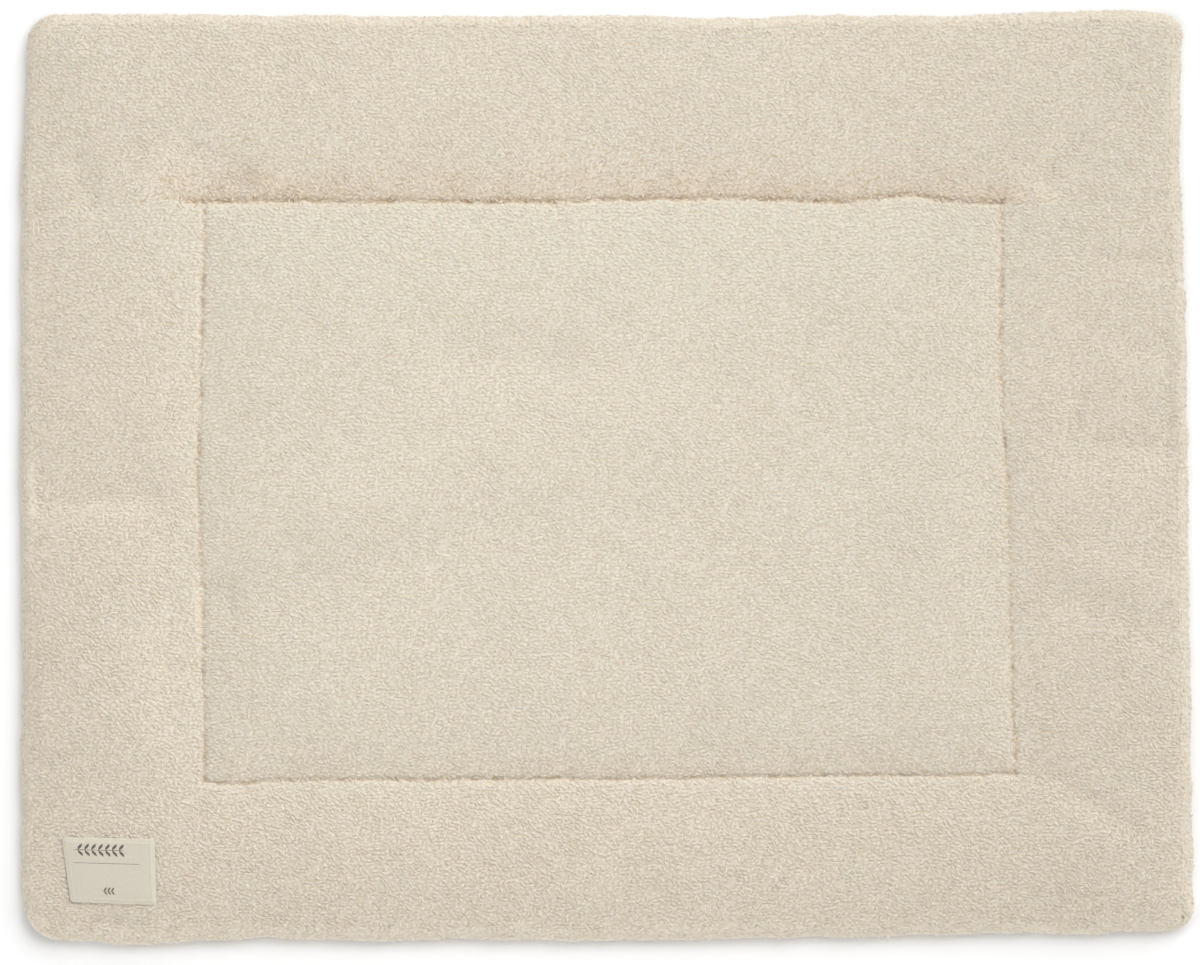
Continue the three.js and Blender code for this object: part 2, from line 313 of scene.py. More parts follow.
def bow(bells, along):
    """The sum of one side's bells, each out times e to the minus square of (along - at) / spread."""
    return sum(out * MM * np.exp(-(((along - at * MM) / (spread * MM)) ** 2)) for at, out, spread in bells)


def lay(sheet_x, sheet_y):
    """Where points of the square sheet lie on the real mat: even steps across each field, then the bows.

    An edge's bow fades with the square of the way across its border, a seam's as a bell on both sides.
    """
    x, y, _ = round_mat(sheet_x, sheet_y)
    i = np.clip(np.searchsorted(COLUMNS, x, "right") - 1, 0, 2)
    j = np.clip(np.searchsorted(ROWS, y, "right") - 1, 0, 2)
    across = ((x - COLUMNS[i]) / (COLUMNS[i + 1] - COLUMNS[i]))[..., None]
    up = ((y - ROWS[j]) / (ROWS[j + 1] - ROWS[j]))[..., None]
    front = lerp(LATTICE[i, j], LATTICE[i + 1, j], across)
    back = lerp(LATTICE[i, j + 1], LATTICE[i + 1, j + 1], across)
    px, py = np.moveaxis(lerp(front, back, up), -1, 0)
    moved = {}
    for side, along, from_edge, from_line in (
        ("right", py, WIDTH - x, x - COLUMNS[2]),
        ("left", py, x, x - COLUMNS[1]),
        ("back", px, LENGTH - y, y - ROWS[2]),
        ("front", px, y, y - ROWS[1]),
    ):
        by_edge = np.maximum(0, 1 - from_edge / BORDER[side]) ** 2
        at_seam = np.exp(-((from_line / SEAM_BOW_FADE) ** 2))
        bumps = BUMP_OUT * drift(along, 0 * along, BUMP_SIZE, BUMP_SEEDS[side])
        bumps = bumps * np.exp(-from_edge / BUMP_SIZE)
        bumps = bumps + WANDER_OUT * drift(along, 0 * along, WANDER_SIZE, WANDER_SEEDS[side]) * at_seam
        moved[side] = bow(EDGE_BOWS[side], along) * by_edge + bow(SEAM_BOWS[side], along) * at_seam + bumps
    return px + moved["right"] - moved["left"], py + moved["back"] - moved["front"]


def sheet_place(px, py):
    """The place on the square sheet that lies at a point of the mat, found by twelve corrections."""
    x, y = px + WIDTH / 2, py + LENGTH / 2
    for _ in range(12):
        hit_x, hit_y = lay(x, y)
        x, y = x + px - hit_x, y + py - hit_y
    return x, y


def from_seam(x, y):
    """Distance from the sewn rectangle. Inside, its two nearest sides blend, so no crease runs in."""
    out_x = np.maximum(COLUMNS[1] - x, x - COLUMNS[2])
    out_y = np.maximum(ROWS[1] - y, y - ROWS[2])
    outside = np.hypot(np.maximum(out_x, 0), np.maximum(out_y, 0))
    inside = (np.maximum(-out_x, 1e-6) ** -4 + np.maximum(-out_y, 1e-6) ** -4) ** -0.25
    return np.where((out_x > 0) | (out_y > 0), outside, inside)


def filled_height(x, y):
    """Height of the cloth before it is blown up: the crown, lower towards the edge and the seam.

    Each drop fades as e to the minus distance over reach. The rolled edge is a quarter of an ellipse.
    """
    inset = round_mat(x, y)[2]
    crown = CROWN - PILE_DEPTH - SWELL_CAP * smoothstep(inset / ROLL_OVER)
    crown = crown - EDGE_DROP * np.exp(-inset / EDGE_REACH)
    crown = crown - SHOULDER_DROP * np.exp(-np.hypot(from_seam(x, y), SHOULDER_ROUND) / SHOULDER_REACH)
    return lerp(RIM_HEIGHT, crown, np.sqrt(1 - np.maximum(0, 1 - inset / ROLL_OVER) ** 2))


def folds(px, py):
    """Rise of the soft folds: each a bell across its line, eased over a quarter of its length at its ends."""
    rise = 0
    for start, end, height, left, right in FOLDS:
        start = np.array(start) * MM
        way = np.array(end) * MM - start
        length = np.hypot(*way)
        ux, uy = way / length
        along = ((px - start[0]) * ux + (py - start[1]) * uy) / length
        off = (py - start[1]) * ux - (px - start[0]) * uy
        reach = np.where(off > 0, left, right) * MM
        ease = smoothstep(along * 4) * smoothstep((1 - along) * 4)
        rise = rise + height * MM * ease * np.exp(-((off / reach) ** 2))
    return rise


def by_line(x, y, side, outer, inner):
    """Place along one sewn line, distance from it, and a bell across it with its reach on either side."""
    ends = {
        "back": (x, y - ROWS[2], COLUMNS[1] - CREASE_ON, COLUMNS[2]),
        "front": (x, ROWS[1] - y, COLUMNS[1], COLUMNS[2]),
        "left": (y, COLUMNS[1] - x, ROWS[1], ROWS[2]),
        "right": (y, x - COLUMNS[2], ROWS[1], ROWS[2]),
    }
    along, off, start, end = ends[side]
    away = np.hypot(off, np.maximum(0, np.maximum(start - along, along - end)))
    return along, away, np.exp(-((away / np.where(off > 0, outer * MM, inner * MM)) ** 2))


def sewing(x, y):
    """How deep the sewing pulls the cloth in: a bell across each line, and a dimple where thread catches.

    Dimples lie one pitch apart along a line, each moved by up to a third of it and more or less deep.
    """
    rng = np.random.default_rng(11)
    jitter, pull = rng.uniform(-0.33, 0.33, DIMPLES), rng.uniform(0.2, 1.3, DIMPLES)
    depth = 0
    for side, drop, outer, inner, dimple in GROOVES:
        along, away, bell = by_line(x, y, side, outer, inner)
        cell = np.floor(along / DIMPLE_PITCH).astype(int)
        at = (cell + 0.5 + jitter[cell % DIMPLES]) * DIMPLE_PITCH
        in_dimple = pull[cell % DIMPLES] * np.exp(-((np.hypot(along - at, away) / DIMPLE_REACH) ** 2))
        depth = np.maximum(depth, (drop * bell + dimple * in_dimple) * MM)
    return depth


def by_seams(rows, x, y):
    """The most that any row gives at a place, each its own most times a bell across its sewn line."""
    return np.max([most * by_line(x, y, side, outer, inner)[2] for side, most, outer, inner in rows], axis=0)


def ruffled(x, y):
    """How ruffled the pile is, from 0 to 1: the most that the sewing or the place on the mat gives it."""
    out_x = np.abs(x - COLUMNS[1:3].mean()) - PANEL_WIDTH / 2
    out_y = np.abs(y - ROWS[1:3].mean()) - PANEL_LENGTH / 2
    on_border = smoothstep(np.maximum(out_x, out_y) / (20 * MM))
    ruffle = BASE_RUFFLE - RUFFLE_FALL * y / LENGTH + BORDER_RUFFLE * on_border
    ruffle = ruffle + RUFFLE_PATCHES * drift(x, y, 45 * MM, 24)
    ruffle = np.maximum(ruffle - STRETCHED * by_line(x, y, "back", 1, 60)[2], sewing(x, y) / GROOVE_FULL)
    beside = by_seams(RUFFLES, x, y) * (0.75 + 0.25 * drift(x, y, 12 * MM, 25))
    return np.minimum(np.maximum(ruffle, beside), 1)


def lines_along(marks):
    """Places of the cloth's lines along one side of the square sheet, from rim to rim."""
    over = PILE_DEPTH + ROLL_OVER * (1 - np.cos(np.linspace(0, np.pi / 2, OVER_STEPS + 1)))
    seams = [mark + sign * BY_SEAM for mark in marks[1:3] for sign in (-1, 1)]
    places = np.unique(np.round(np.concatenate([over, marks[3] - over, *seams]), 7))
    fill = [
        np.linspace(a, b, round((b - a) / CLOTH_STEP) + 1)[1:-1]
        for a, b in zip(places[:-1], places[1:])
        if b - a > 1.6 * CLOTH_STEP
    ]
    return np.sort(np.concatenate([places, *fill]))


def rim_loop(columns, rows):
    """Net places once round the rim of a net, from the front left corner by the front right one."""
    last_i, last_j = columns - 1, rows - 1
    i, j = np.arange(last_i), np.arange(last_j)
    loop_i = np.concatenate([i, np.full(last_j, last_i), last_i - i, np.zeros(last_j, int)])
    loop_j = np.concatenate([np.zeros(last_i, int), j, np.full(last_i, last_j), last_j - j])
    return loop_i, loop_j


def net_faces(columns, rows):
    """Four-sided faces of a net whose points are counted row by row up each column, facing up."""
    i, j = np.meshgrid(np.arange(columns - 1), np.arange(rows - 1), indexing="ij")
    first = (i * rows + j).ravel()
    return np.stack([first, first + rows, first + rows + 1, first + 1], axis=1)


def band_faces(upper, lower):
    """Four-sided faces between two closed loops that run the same way, facing out."""
    return np.stack([upper, lower, np.roll(lower, -1), np.roll(upper, -1)], axis=1)


def make_piece(name, points, faces, material, values=None):
    """A smooth mesh object from points as drawn and groups of faces, each group with one count of corners.

    The mat as drawn is moved so that its middle lies where the frame has it.
    """
    mesh = bpy.data.meshes.new(name)
    corners = np.concatenate([group.ravel() for group in faces]).astype(np.int32)
    sizes = np.concatenate([np.full(len(group), group.shape[1]) for group in faces])
    starts = (np.cumsum(sizes) - sizes).astype(np.int32)
    mesh.vertices.add(len(points))
    mesh.vertices.foreach_set("co", (points - TO_FRAME).astype(np.float32).ravel())
    mesh.loops.add(len(corners))
    mesh.loops.foreach_set("vertex_index", corners)
    mesh.polygons.add(len(sizes))
    mesh.polygons.foreach_set("loop_start", starts)
    for key, value in (values or {}).items():
        mesh.attributes.new(key, "FLOAT", "POINT").data.foreach_set("value", value.astype(np.float32).ravel())
    mesh.update(calc_edges=True)
    mesh.shade_smooth()
    mesh.materials.append(material)
    piece = bpy.data.objects.new(name, mesh)
    bpy.context.scene.collection.objects.link(piece)
    return piece


def set_uv(piece, name, uv):
    """Gives a piece a UV map, with a place for each corner of each face."""
    piece.data.uv_layers.new(name=name).uv.foreach_set("vector", uv.astype(np.float32).ravel())


def patch(us, vs, points):
    """A net of points with its normals: the cross product of its steps along u and along v."""
    normals = unit(np.cross(np.gradient(points, axis=0), np.gradient(points, axis=1)))
    return us, vs, points, normals


def sample(surface, u, v):
    """Points and normals of a patch at u, v: straight blends between the four nearest points of its net."""
    us, vs, points, normals = surface
    i = np.clip(np.searchsorted(us, u) - 1, 0, len(us) - 2)
    j = np.clip(np.searchsorted(vs, v) - 1, 0, len(vs) - 2)
    a = np.clip((u - us[i]) / (us[i + 1] - us[i]), 0, 1)[..., None]
    b = np.clip((v - vs[j]) / (vs[j + 1] - vs[j]), 0, 1)[..., None]
    point, normal = [
        lerp(lerp(net[i, j], net[i + 1, j], a), lerp(net[i, j + 1], net[i + 1, j + 1], a), b)
        for net in (points, normals)
    ]
    return point, unit(normal)


def filled_cloth():
    """The cloth before it is blown up, as the net of its top, the rings under its rim, and its middle point.

    A ring lies in from the rim by ROLL_UNDER times 1 - cos t, at the height RIM_HEIGHT times 1 - sin t, with
    t up to a quarter turn. Flat rings then shrink towards the middle, each by its part of the way.
    """
    x, y = np.meshgrid(XS, YS, indexing="ij")
    top = np.dstack([*lay(x, y), filled_height(x, y)])
    rim = top[rim_loop(*top.shape[:2])]
    t = np.linspace(0, np.pi / 2, UNDER_STEPS + 1)[1:, None]
    half = np.array([WIDTH, LENGTH]) / 2
    flat_rings = rim[:, :2] * (1 - ROLL_UNDER * (1 - np.cos(t))[..., None] / half)
    heights = np.broadcast_to(RIM_HEIGHT * (1 - np.sin(t)), flat_rings.shape[:2])
    round_under = np.dstack([flat_rings, heights])
    flat = round_under[-1] * (1 - np.array(BASE_RINGS)[:, None, None])
    return top, np.concatenate([round_under, flat]), np.zeros((1, 3))


def cloth_faces(top, rings):
    """Faces of the closed cloth: the top's net, bands from ring to ring, and a fan to the middle point."""
    columns, rows = top.shape[:2]
    loop_i, loop_j = rim_loop(columns, rows)
    loops = [loop_i * rows + loop_j]
    loops += [columns * rows + number * len(loop_i) + np.arange(len(loop_i)) for number in range(len(rings))]
    middle = np.full(len(loop_i), columns * rows + rings.shape[0] * rings.shape[1])
    bands = [band_faces(upper, lower) for upper, lower in zip(loops[:-1], loops[1:])]
    fan = np.stack([loops[-1], middle, np.roll(loops[-1], -1)], axis=1)
    return [net_faces(columns, rows), *bands, fan]


def blow_up(piece, held_points):
    """How far each point moves when Blender's cloth is blown up from inside while some points are held."""
    held = piece.vertex_groups.new(name="held")
    held.add(held_points.tolist(), 1, "REPLACE")
    cloth = piece.modifiers.new("filling", "CLOTH")
    cloth.settings.vertex_group_mass = held.name
    cloth.settings.use_pressure = True
    cloth.settings.uniform_pressure_force = PRESSURE
    cloth.settings.effector_weights.gravity = 0
    start, blown = np.empty((2, len(piece.data.vertices) * 3), np.float32)
    piece.data.vertices.foreach_get("co", start)
    for number in range(1, SWELL_FRAMES + 1):
        bpy.context.scene.frame_set(number)
    evaluated = piece.evaluated_get(bpy.context.evaluated_depsgraph_get())
    evaluated.data.vertices.foreach_get("co", blown)
    piece.modifiers.remove(cloth)
    piece.vertex_groups.remove(held)
    bpy.context.scene.frame_set(1)
    return (blown - start).reshape(-1, 3)


def sewn_mat(material):
    """The filled mat: blown up between its rim and its seams, held to SWELL_CAP, then sewn in and folded."""
    top, rings, middle = filled_cloth()
    points = np.concatenate([top.reshape(-1, 3), rings.reshape(-1, 3), middle])
    x, y = np.meshgrid(XS, YS, indexing="ij")
    # The cloth between the curls is painted in shade, as the pile's lower parts are
    plain = {"ruffle": EDGE_RUFFLE, "depth": GROUND_SHADE_DEPTH, "tone": 0.5}
    values = {key: np.full(len(points), value) for key, value in plain.items()}
    values["ruffle"][: x.size] = ruffled(x, y).ravel()
    # Down in the sewn grooves the cloth is painted darker still: painted shade
    values["depth"][: x.size] *= 1 - np.minimum(1, sewing(x, y) / GROOVE_FULL).ravel()
    piece = make_piece("filled_mat", points, cloth_faces(top, rings), material, values)
    inset = round_mat(x, y)[2]
    held = np.ones(len(points), bool)
    held[: x.size] = ((inset < HELD_RIM) | (from_seam(x, y) < BY_SEAM[1] / 2)).ravel()
    moves = blow_up(piece, np.flatnonzero(held))
    far = np.maximum(np.linalg.norm(moves, axis=1, keepdims=True), 1e-9)
    moves = moves * SWELL_CAP * np.tanh(far / SWELL_CAP) / far
    top = top + moves[: x.size].reshape(top.shape)
    on_roll = smoothstep(inset / ROLL_OVER)
    top[..., 2] += (folds(top[..., 0], top[..., 1]) - sewing(x, y)) * on_roll
    points[: x.size] = top.reshape(-1, 3)
    piece.data.vertices.foreach_set("co", (points - TO_FRAME).astype(np.float32).ravel())
    piece.data.update()
    return piece, top, rings


def on_top(x, y):
    """Points and normals of the cloth's top at places on the square sheet."""
    return sample(TOP, x, y)


def on_edge(along, climb):
    """Points and normals of the rolled edge: metres once round its rim, and up from the rim or down from it.

    Up, a place moves in from the rim by ROLL_OVER times 1 - cos t with t a quarter turn times climb over
    WAY_OVER. Down, it is looked up in the rings under the rim.
    """
    loop = np.interp(along % RIM_AT[-1], RIM_AT, RIM_PLACES)
    x, y = [np.interp(loop, RIM_PLACES, line) for line in (RIM_X, RIM_Y)]
    inwards = 1 - np.cos(np.clip(climb / WAY_OVER, 0, 1) * np.pi / 2)
    least = PILE_DEPTH + ROLL_OVER
    x = lerp(x, np.clip(x, least, WIDTH - least), inwards)
    y = lerp(y, np.clip(y, least, LENGTH - least), inwards)
    over, under = on_top(x, y), sample(UNDER, loop, climb / WAY_UNDER)
    is_up = (climb > 0)[..., None]
    return np.where(is_up, over[0], under[0]), np.where(is_up, over[1], under[1])


# A strand's eight points are a tip, two rings of a crest, a left foot and a right foot, and a tip
SIDE = np.arange(3)
NEXT_SIDE = (SIDE + 1) % 3
STRAND_TIPS = np.concatenate(
    [np.stack([0 * SIDE, 1 + SIDE, 1 + NEXT_SIDE], 1), np.stack([4 + NEXT_SIDE, 4 + SIDE, 0 * SIDE + 7], 1)]
)
STRAND_SIDES = np.stack([1 + SIDE, 4 + SIDE, 4 + NEXT_SIDE, 1 + NEXT_SIDE], 1)
# The feet that a point belongs to: 1 the left, 2 the right, 3 both, as at a tip, and 0 none
STRAND_FEET = np.array([3, 0, 1, 2, 0, 1, 2, 3])
# From the feet to the crest, which sets the painted shade: tan at the feet, pale at the crest
STRAND_DEPTH = [0.35, 1, 0, 0, 1, 0, 0, 0.35]


def strands(place, u, v, heading, size, rng, bend=0, snake=0, rise=1, girth=1):
    """Strands of pile or thread laid on a surface, each a bent spindle between two tips.

    At t from -1 to 1 the middle line is half a length times t along its heading, and a length times
    bend (t t - 0.4) + snake (t t t - 0.6 t) to its left. Width and rise shrink as the root of 1 - 0.75 t t.
    Each strand differs a little from size, and its crest leans to one side.
    """
    count = len(u)
    t = np.linspace(-1, 1, 4)
    length = size["length"] * rng.uniform(0.8, 1.2, (count, 1))
    width = size["width"] * rng.uniform(0.85, 1.15, (count, 1)) * np.reshape(girth, (-1, 1))
    height = size["rise"] * rng.uniform(0.84, 1.16, (count, 1)) * np.reshape(rise, (-1, 1))
    bends, snakes = np.clip(rng.normal(0, 1, (2, count, 1)), -1.3, 1.3)
    ahead = length / 2 * t
    aside = length * (bend * bends * (t * t - 0.4) + snake * snakes * (t**3 - 0.6 * t))
    turn = heading[:, None]
    points, normals = place(
        u[:, None] + np.cos(turn) * ahead - np.sin(turn) * aside,
        v[:, None] + np.sin(turn) * ahead + np.cos(turn) * aside,
    )
    lefts = unit(np.cross(normals, np.gradient(points, axis=1)))
    slim = np.sqrt(1 - 0.75 * t * t)[:, None]
    crest = points + normals * height[..., None] * slim
    crest = crest + lefts * rng.uniform(-0.14, 0.14, (count, 1, 1)) * width[..., None]
    left = points + lefts * width[..., None] / 2 * slim - normals * size["sink"]
    right = points - lefts * width[..., None] / 2 * slim - normals * size["sink"]
    rings = np.stack([crest, left, right], axis=2)[:, 1:3].reshape(count, 6, 3)
    strand = np.concatenate([points[:, :1], rings, points[:, 3:]], axis=1)
    strand[..., 2] = np.maximum(strand[..., 2], GROUND_GAP)
    return strand


def strand_piece(name, points, material, values):
    """One mesh of many strands, each with a small cell of the map to itself.

    In its cell a strand's three sides lie next to each other, and its tips are at the cell's two ends.
    """
    count, corners = points.shape[:2]
    shift = (corners * np.arange(count))[:, None, None]
    faces = [(STRAND_TIPS + shift).reshape(-1, 3), (STRAND_SIDES + shift).reshape(-1, 4)]
    values = {key: np.repeat(value, corners) for key, value in values.items()}
    # Each point's depth sets its painted shade, darker towards the feet
    values["depth"] = values.get("depth", 1) * np.tile(STRAND_DEPTH, count)
    piece = make_piece(name, points.reshape(-1, 3), faces, material, values)
    # Its flat underside stays out of its smooth shading
    ends = np.empty(2 * len(piece.data.edges), np.int32)
    piece.data.edges.foreach_get("vertices", ends)
    feet = STRAND_FEET[ends % corners].reshape(-1, 2)
    is_sharp = (feet[:, 0] & feet[:, 1]) > 0
    piece.data.attributes.new("sharp_edge", "BOOLEAN", "EDGE").data.foreach_set("value", is_sharp)

    near = np.stack([np.stack([SIDE + 0.5, SIDE, SIDE + 1], 1), np.tile([0, 0.25, 0.25], (3, 1))], 2)
    far = np.stack([np.stack([SIDE + 1, SIDE, SIDE + 0.5], 1), np.tile([0.75, 0.75, 1], (3, 1))], 2)
    across = np.stack([SIDE, SIDE, SIDE + 1, SIDE + 1], 1)
    between = np.stack([across, np.tile([0.25, 0.75, 0.75, 0.25], (3, 1))], 2)
    cells = int(np.ceil(np.sqrt(count)))
    corner = np.stack([np.arange(count) % cells, np.arange(count) // cells], 1)[:, None, :]
    templates = [part.reshape(-1, 2) / [3, 1] for part in (np.concatenate([near, far]), between)]
    set_uv(piece, "OFBake", np.concatenate([((corner + part) / cells).reshape(-1, 2) for part in templates]))
    return piece


def pile(material):
    """The pile: curls all over the top and down the rolled edge, in strips from front to back.

    They head along X, turned more where the pile is ruffled, and there they stand more unevenly too. The
    ones that the thread catches are held down, and their colour is painted darker, as painted shade.
    """
    rng = np.random.default_rng(5)
    i, j = np.meshgrid(np.arange(WIDTH // CURL_CELL[0] + 1), np.arange(LENGTH // CURL_CELL[1] + 1))
    jitter = rng.uniform(-CURL_JITTER, CURL_JITTER, (2, *i.shape))
    x = ((i + (j % 2) / 2 + jitter[0]) * CURL_CELL[0]).ravel()
    y = ((j + jitter[1]) * CURL_CELL[1]).ravel()
    on_sheet = (x > PILE_DEPTH) & (x < WIDTH - PILE_DEPTH) & (y > PILE_DEPTH) & (y < LENGTH - PILE_DEPTH)
    x, y = x[on_sheet], y[on_sheet]
    px, py = lay(x, y)
    least = ROLL_OVER * (1 - np.cos(EDGE_ROWS[1] * np.pi / 2))
    keep = (round_mat(x, y)[2] > least) & ~under_label(px, py)
    x, y, px, py = x[keep], y[keep], px[keep], py[keep]
    ruffle = ruffled(x, y)
    heading = CURL_TURN * (drift(px, py, 50 * MM, 21) + rng.normal(0, 1, len(x))) * (1 + 1.4 * ruffle)
    rise = (1 + 0.06 * drift(px, py, 6 * MM, 22)) * (1 + ruffle * ruffle * rng.uniform(-0.6, 1.9, len(x)))
    caught = rng.uniform(0, 1, len(x)) < by_seams(CAUGHT, x, y)
    rise = np.where(caught, CAUGHT_RISE, rise)
    top = strands(on_top, x, y, heading, CURL, rng, CURL_BEND, CURL_SNAKE, rise, 1 - 0.2 * ruffle)

    rows = np.arange(EDGE_ROWS[0] * WAY_UNDER, EDGE_ROWS[1] * WAY_OVER, CURL_CELL[1])
    along, climb = np.meshgrid(np.arange(0, RIM_AT[-1], CURL_CELL[0]), rows)
    jitter = rng.uniform(-CURL_JITTER, CURL_JITTER, (2, *along.shape))
    along, climb = (along + jitter[0] * CURL_CELL[0]).ravel(), (climb + jitter[1] * CURL_CELL[1]).ravel()
    heading = CURL_TURN * rng.normal(0, 1.3, len(along))
    rise = rng.uniform(0.6, 1.5, len(along))
    edge = strands(on_edge, along, climb, heading, CURL, rng, CURL_BEND, CURL_SNAKE, rise)

    curls = np.concatenate([top, edge])
    values = {
        "ruffle": np.append(ruffle, np.full(len(edge), EDGE_RUFFLE)),
        # Caught curls are painted darker, as painted shade
        "depth": np.append(np.where(caught, CAUGHT_SHADE_DEPTH, 1), np.ones(len(edge))),
        "tone": rng.uniform(0, 1, len(curls)),
    }
    order = np.array_split(np.argsort(curls[:, 1, 1]), PILE_STRIPS)
    return [
        strand_piece(f"pile_{n}", curls[part], material, {key: value[part] for key, value in values.items()})
        for n, part in enumerate(order, 1)
    ]


def under_label(px, py):
    """Whether points of the mat lie under the label, as drawn, more than a little inside its edge."""
    front_left, front_right, back_left, back_right = np.array(LABEL) * MM
    outline = [front_left, front_right, back_right, back_left]
    inside = True
    for start, end in zip(outline, outline[1:] + outline[:1]):
        ux, uy = unit(end - start)
        inside = inside & ((py - start[1]) * ux - (px - start[0]) * uy > LABEL_BARE)
    return inside


def hem(inset):
    """1 over the label's turned-under hem, easing to 0 just inside it."""
    return 1 - smoothstep((inset - HEM_WIDTH) / HEM_EASE)


def label_surface(x, y, is_upper=True):
    """Points and normals of the label's upper or lower face at places on the flat label.

    Its sewn edge is drawn down into the pile, by LABEL_SINK times e to the minus inset over SINK_REACH, and
    its middle lies a little puffed. The hem is thicker by HEM_RISE, with a trough along the stitches.
    """
    x, y, inset = rounded(x, y, LABEL_WIDTH, LABEL_LENGTH, np.full(4, LABEL_RADIUS))
    a, b = (x / LABEL_WIDTH)[..., None], (y / LABEL_LENGTH)[..., None]
    front_left, front_right, back_left, back_right = np.array(LABEL) * MM
    at = lerp(lerp(front_left, front_right, a), lerp(back_left, back_right, a), b)
    points, normals = sample(TOP, *sheet_place(at[..., 0], at[..., 1]))
    puff = LABEL_PUFF * (1 - np.exp(-inset / PUFF_REACH)) * (1 + 0.5 * drift(x, y, 17 * MM, 31))
    sunk = LABEL_SINK * np.exp(-inset / SINK_REACH) * (1 + 0.35 * drift(x, y, 6 * MM, 32))
    lift = PILE_DEPTH + LABEL_GAP + puff - sunk
    if is_upper:
        trough = TROUGH_DEPTH * np.exp(-(((inset - STITCH_INSET) / TROUGH_REACH) ** 2))
        lift = lift + LABEL_THICKNESS - HEM_RISE + HEM_RISE * hem(inset) - trough
    return points + normals * lift[..., None], normals


def label_lines(size):
    """Places of the label's lines along one side: close ones over its hem, then steps of about 2 mm."""
    near = np.array([0, 0.5, 1.1, 1.7, 2.3, 2.9, 3.5, 4.2, 4.9, 6]) * MM
    middle = np.linspace(near[-1], size - near[-1], round(size / (2 * MM)))
    return np.concatenate([near[:-1], middle, size - near[-2::-1]])


def sewn_label(material):
    """The label: a thin closed cloth with its edge turned under."""
    xs, ys = label_lines(LABEL_WIDTH), label_lines(LABEL_LENGTH)
    x, y = np.meshgrid(xs, ys, indexing="ij")
    upper, lower = label_surface(x, y)[0], label_surface(x, y, False)[0]
    top = net_faces(*x.shape)
    loop_i, loop_j = rim_loop(*x.shape)
    loop = loop_i * len(ys) + loop_j
    faces = [top, top[:, ::-1] + x.size, band_faces(loop, loop + x.size)]
    inset = rounded(x, y, LABEL_WIDTH, LABEL_LENGTH, np.full(4, LABEL_RADIUS))[2]
    points = np.concatenate([upper.reshape(-1, 3), lower.reshape(-1, 3)])
    piece = make_piece("sewn_label", points, faces, material, {"hem": np.tile(hem(inset).ravel(), 2)})
    flat = np.stack([x.ravel() / LABEL_WIDTH, y.ravel() / LABEL_LENGTH], 1)
    uv = np.concatenate([flat, flat - [0, 2]])
    set_uv(piece, "label_cloth", uv[np.concatenate([group.ravel() for group in faces])])
    return piece


def box_corners(left, front, right, back):
    """The corners of a rectangle, once round from the front left."""
    return np.array([(left, front), (right, front), (right, back), (left, back)])


def stitch_rows(outline, pitch):
    """Middles and headings of stitches along the sides of a closed outline, about one pitch apart."""
    rows = []
    for start, end in zip(outline, np.roll(outline, -1, axis=0)):
        way = end - start
        count = round(np.hypot(*way) / pitch)
        middles = start + way * ((np.arange(count) + 0.5) / count)[:, None]
        rows.append(np.column_stack([middles, np.full(count, np.arctan2(way[1], way[0]))]))
    return np.concatenate(rows).T


def stitches(name, place, outline, size, material):
    """Lock stitches along an outline, each a short straight strand of thread with a small gap to the next."""
    u, v, heading = stitch_rows(outline, size["length"] * 1.25)
    rng = np.random.default_rng(41)
    return strand_piece(name, strands(place, u, v, heading, size, rng), material, {})


def linear(hex_colour):
    """An sRGB hex colour as the linear red, green, blue and alpha that a shader takes."""
    values = [int(hex_colour[i : i + 2], 16) / 255 for i in (1, 3, 5)]
    return [v / 12.92 if v <= 0.04045 else ((v + 0.055) / 1.055) ** 2.4 for v in values] + [1.0]


def add_node(tree, kind, inputs=None, **settings):
    """Adds a shader node with its settings. Its inputs take a value, a node or one of a node's outputs."""
    node = tree.nodes.new("ShaderNode" + kind)
    for name, value in settings.items():
        setattr(node, name, value)
    for name, value in (inputs or {}).items():
        if isinstance(value, bpy.types.Node):
            value = value.outputs[0]
        if isinstance(value, bpy.types.NodeSocket):
            tree.links.new(value, node.inputs[name])
        else:
            node.inputs[name].default_value = value
    return node


def new_material(name, colour, constants):
    """A material of one shader, with its constants set on the shader's own sockets."""
    material = bpy.data.materials.new(name)
    material.use_nodes = True
    shader = material.node_tree.nodes["Principled BSDF"]
    for socket, value in {"Base Color": linear(colour), **constants}.items():
        shader.inputs[socket].default_value = value
    return material, material.node_tree, shader


# A colour mix takes its factor at 0 and its colours at 6 and 7, and gives the mixed colour at 2
FACTOR, FIRST, SECOND, MIXED = 0, 6, 7, 2


def set_surface(shader, colour, bump):
    """Links a colour mix and a bump to a shader."""
    links = shader.id_data.links
    links.new(colour.outputs[MIXED], shader.inputs["Base Color"])
    links.new(bump.outputs["Normal"], shader.inputs["Normal"])


